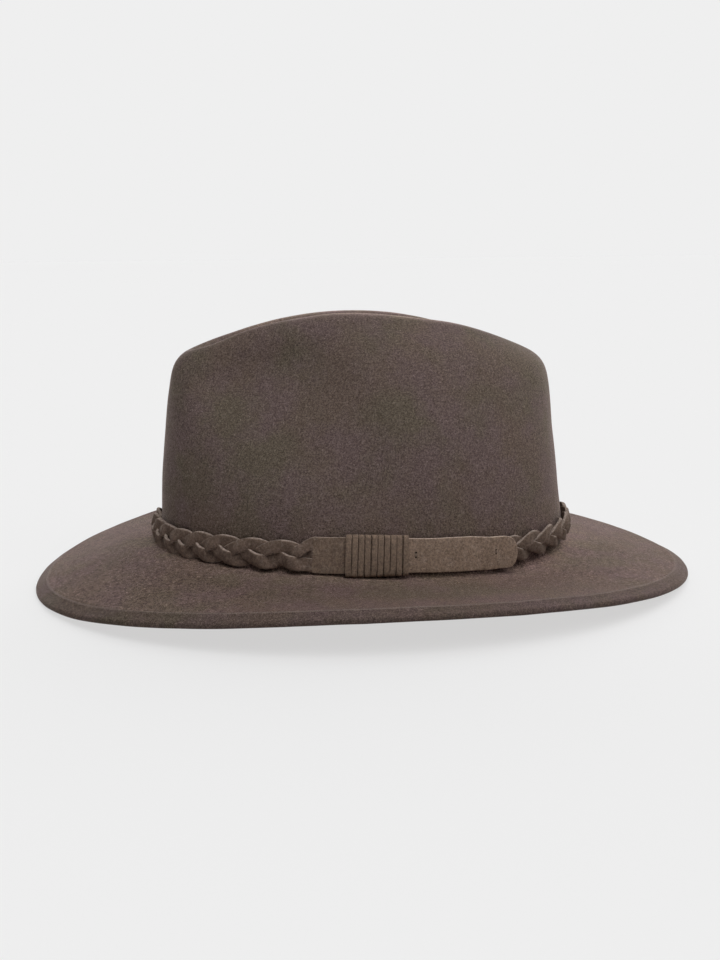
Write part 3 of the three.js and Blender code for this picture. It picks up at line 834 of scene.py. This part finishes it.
# Corners of its way round the strap, and the share of the pitch it has moved on by then
LACE_CORNERS = [(1, 1, 0.0), (-1, 1, 0.0), (-1, -1, 0.1), (1, -1, 0.9)]
LACE_ARC, LACE_FLAT = 6, 8  # steps in a corner and across the front
# How unevenly each turn was laid, and how far it bulges across the front
LACE_SHIFT, LACE_LEAN, LACE_RAISED, LACE_BULGE = 0.12, 0.14, 0.16, 0.35


def lace():
    rings = []
    for turn in range(LACE_TURNS):
        shift = random.uniform(-LACE_SHIFT, LACE_SHIFT)
        lean = random.uniform(-LACE_LEAN, LACE_LEAN)
        raised = random.uniform(0.0, LACE_RAISED)
        corners = LACE_CORNERS[:3] if turn == LACE_TURNS - 1 else LACE_CORNERS
        for index, (high, outer, moved) in enumerate(corners):
            at = WRAP_FROM + LACE_PITCH * (turn + moved) + shift + lean * high
            for step in range(LACE_ARC + 1):
                rings.append((at, high, outer, math.pi / 2 * (index + step / LACE_ARC), raised))
            if index == 0:
                for step in range(1, LACE_FLAT):
                    share = step / LACE_FLAT
                    bulge = LACE_BULGE * math.sin(math.pi * share)
                    rings.append((at, 1 - 2 * share, 1, math.pi / 2, raised + bulge))
    at, high, outer, bend, raised = np.array(rings).T
    point, along, up, out = band_frames(at)
    low, top, lift = strap_row(at)
    clear = LACE["gap"] + LACE["thick"] / 2 - LACE["bend"]
    rise = np.where(high > 0, top + clear, low - clear)
    across = low - clear + (top + 2 * clear - low) * (high + 1) / 2
    rise = np.where(np.abs(high) < 1, across, rise)
    depth = np.where(outer > 0, lift + STRAP_THICK + clear, lift - clear) + np.where(outer > 0, raised, 0)
    through = up * np.cos(bend)[:, None] + out * np.sin(bend)[:, None]
    origin = point + up * (rise - BRAID_RISE)[:, None] + out * depth[:, None] + through * LACE["bend"]
    return strip("lace", origin, along, through, LACE["width"], LACE["thick"],
                 radius=0.42, edge_reach=0.55, flat_steps=6)


# Build. Each suede has its colour, the colour of its cut edges, and the look of its rear half: a paler tone
# on the strap, painted shade on the braid.
# painted shade inside the stitch holes
HOLE_SHADE_COLOUR = (0.012, 0.009, 0.008)
place(felt(), felt_material(), "felt", "felt_body")
strap_suede = suede_material("suede_strap", (0.207, 0.151, 0.116), (0.46, 0.37, 0.31), 1.34)
# the braid's rear half is darkened with painted shade
braid_suede = suede_material("suede_braid", (0.165, 0.119, 0.095), (0.38, 0.31, 0.27), 0.84)
lace_suede = suede_material("suede_lace", (0.215, 0.157, 0.12), (0.25, 0.19, 0.15))
place(strap(), strap_suede, "suede_strap", "band_strap")
for n in range(3):
    place(strand(n), braid_suede, "suede_braid", f"braid_strand_{n + 1}")
place(lace(), lace_suede, "suede_lace", "lace_wrap")
place(stitch_holes(), suede_material("stitch_hole", HOLE_SHADE_COLOUR, HOLE_SHADE_COLOUR), "suede_strap")
thread = suede_material("stitch_thread", (0.2, 0.16, 0.13), (0.24, 0.19, 0.16))
for n in range(len(STITCHES)):
    place(stitch_thread(n), thread, "suede_strap")

# Camera, where the photo was taken from: angles in degrees, distance in m, focal length and height in pixels
PITCH, YAW, ROLL = math.radians(8.557), math.radians(12.325), math.radians(-0.497)
DISTANCE, TARGET_HEIGHT = 0.65, 69.67
FOCAL_LENGTH, PHOTO_HEIGHT, SENSOR = 1254.8, 960, 36
SHIFT_X, SHIFT_Y = -0.0026, -0.0447
target = Vector((0, CROWN_Y, TARGET_HEIGHT)) * MM
back = Vector((math.cos(PITCH) * math.cos(YAW), -math.cos(PITCH) * math.sin(YAW), math.sin(PITCH)))
camera = bpy.data.objects.new("camera", bpy.data.cameras.new("camera"))
camera.data.sensor_width = SENSOR
camera.data.lens = FOCAL_LENGTH / PHOTO_HEIGHT * SENSOR
camera.data.clip_start, camera.data.clip_end = 0.01, 50
camera.data.shift_x, camera.data.shift_y = SHIFT_X, SHIFT_Y
camera.location = target + back * DISTANCE
camera.rotation_mode = "QUATERNION"
level = (-back).to_track_quat("-Z", "Y")
camera.rotation_quaternion = level @ Matrix.Rotation(ROLL, 3, "Z").to_quaternion()
bpy.context.scene.collection.objects.link(camera)
bpy.context.scene.camera = camera

# Pale floor: half its side in m, its own colour, and its glow
FLOOR_REACH, FLOOR_COLOUR, FLOOR_GLOW = 20, 0.26, 0.6
floor = bpy.data.objects.new("floor", bpy.data.meshes.new("floor"))
corners = [(FLOOR_REACH * x, FLOOR_REACH * y, 0) for x, y in ((-1, -1), (1, -1), (1, 1), (-1, 1))]
floor.data.from_pydata(corners, [], [(0, 1, 2, 3)])
bpy.context.scene.collection.objects.link(floor)
floor_material, _, floor_shader = new_material("floor")
floor_shader.inputs["Base Color"].default_value = (FLOOR_COLOUR, FLOOR_COLOUR, FLOOR_COLOUR, 1)
floor_shader.inputs["Emission Color"].default_value = (1, 1, 1, 1)
floor_shader.inputs["Emission Strength"].default_value = FLOOR_GLOW
floor_shader.inputs["Roughness"].default_value = 0.9
floor_shader.inputs["Specular IOR Level"].default_value = 0.0
floor.data.materials.append(floor_material)

# Soft light from parts of the sky: azimuth from +X and elevation in degrees, and strength
SKY_LIGHTS = [(0, 90, 1.06), (0, 65, 1.18), (45, 45, 1.07), (135, 10, 0.78), (180, 5, 3.03)]
SPREAD = math.radians(40)
BACKGROUND = 0.863  # what the camera sees of the sky
KEY = dict(azimuth=135, elevation=35, energy=1.31, angle=60)

world = bpy.data.worlds.new("world")
bpy.context.scene.world = world
world.use_nodes = True
sky = world.node_tree
direction = node(sky, "ShaderNodeTexCoord").outputs["Generated"]


def towards(azimuth, elevation):
    turn, rise = math.radians(azimuth), math.radians(elevation)
    return Vector((math.cos(rise) * math.cos(turn), math.cos(rise) * math.sin(turn), math.sin(rise)))


def soft_light(azimuth, elevation, strength):
    """Light from one part of the sky that fades out at the spread."""
    from_there = towards(azimuth, elevation)
    dot = node(sky, "ShaderNodeVectorMath", {0: direction, 1: from_there}, operation="DOT_PRODUCT")
    near = dot.outputs["Value"]
    inputs = {"Value": near, "From Min": math.cos(SPREAD), "From Max": 1.0, "To Max": strength}
    return node(sky, "ShaderNodeMapRange", inputs, interpolation_type="SMOOTHSTEP").outputs["Result"]


light = 0.0
for sky_light in SKY_LIGHTS:
    light = maths(sky, "ADD", light, soft_light(*sky_light))
seen = node(sky, "ShaderNodeLightPath").outputs["Is Camera Ray"]
shown = node(sky, "ShaderNodeMix", {0: seen, 2: light, 3: BACKGROUND}, data_type="FLOAT").outputs[0]
sky.links.new(shown, sky.nodes["Background"].inputs["Strength"])
sky.nodes["Background"].inputs["Color"].default_value = (1, 1, 1, 1)

key = bpy.data.objects.new("key", bpy.data.lights.new("key", "SUN"))
key.data.energy = KEY["energy"]
key.data.angle = math.radians(KEY["angle"])
key.rotation_mode = "QUATERNION"
key.rotation_quaternion = (-towards(KEY["azimuth"], KEY["elevation"])).to_track_quat("-Z", "Y")
bpy.context.scene.collection.objects.link(key)

bpy.context.scene.view_settings.view_transform = "Standard"
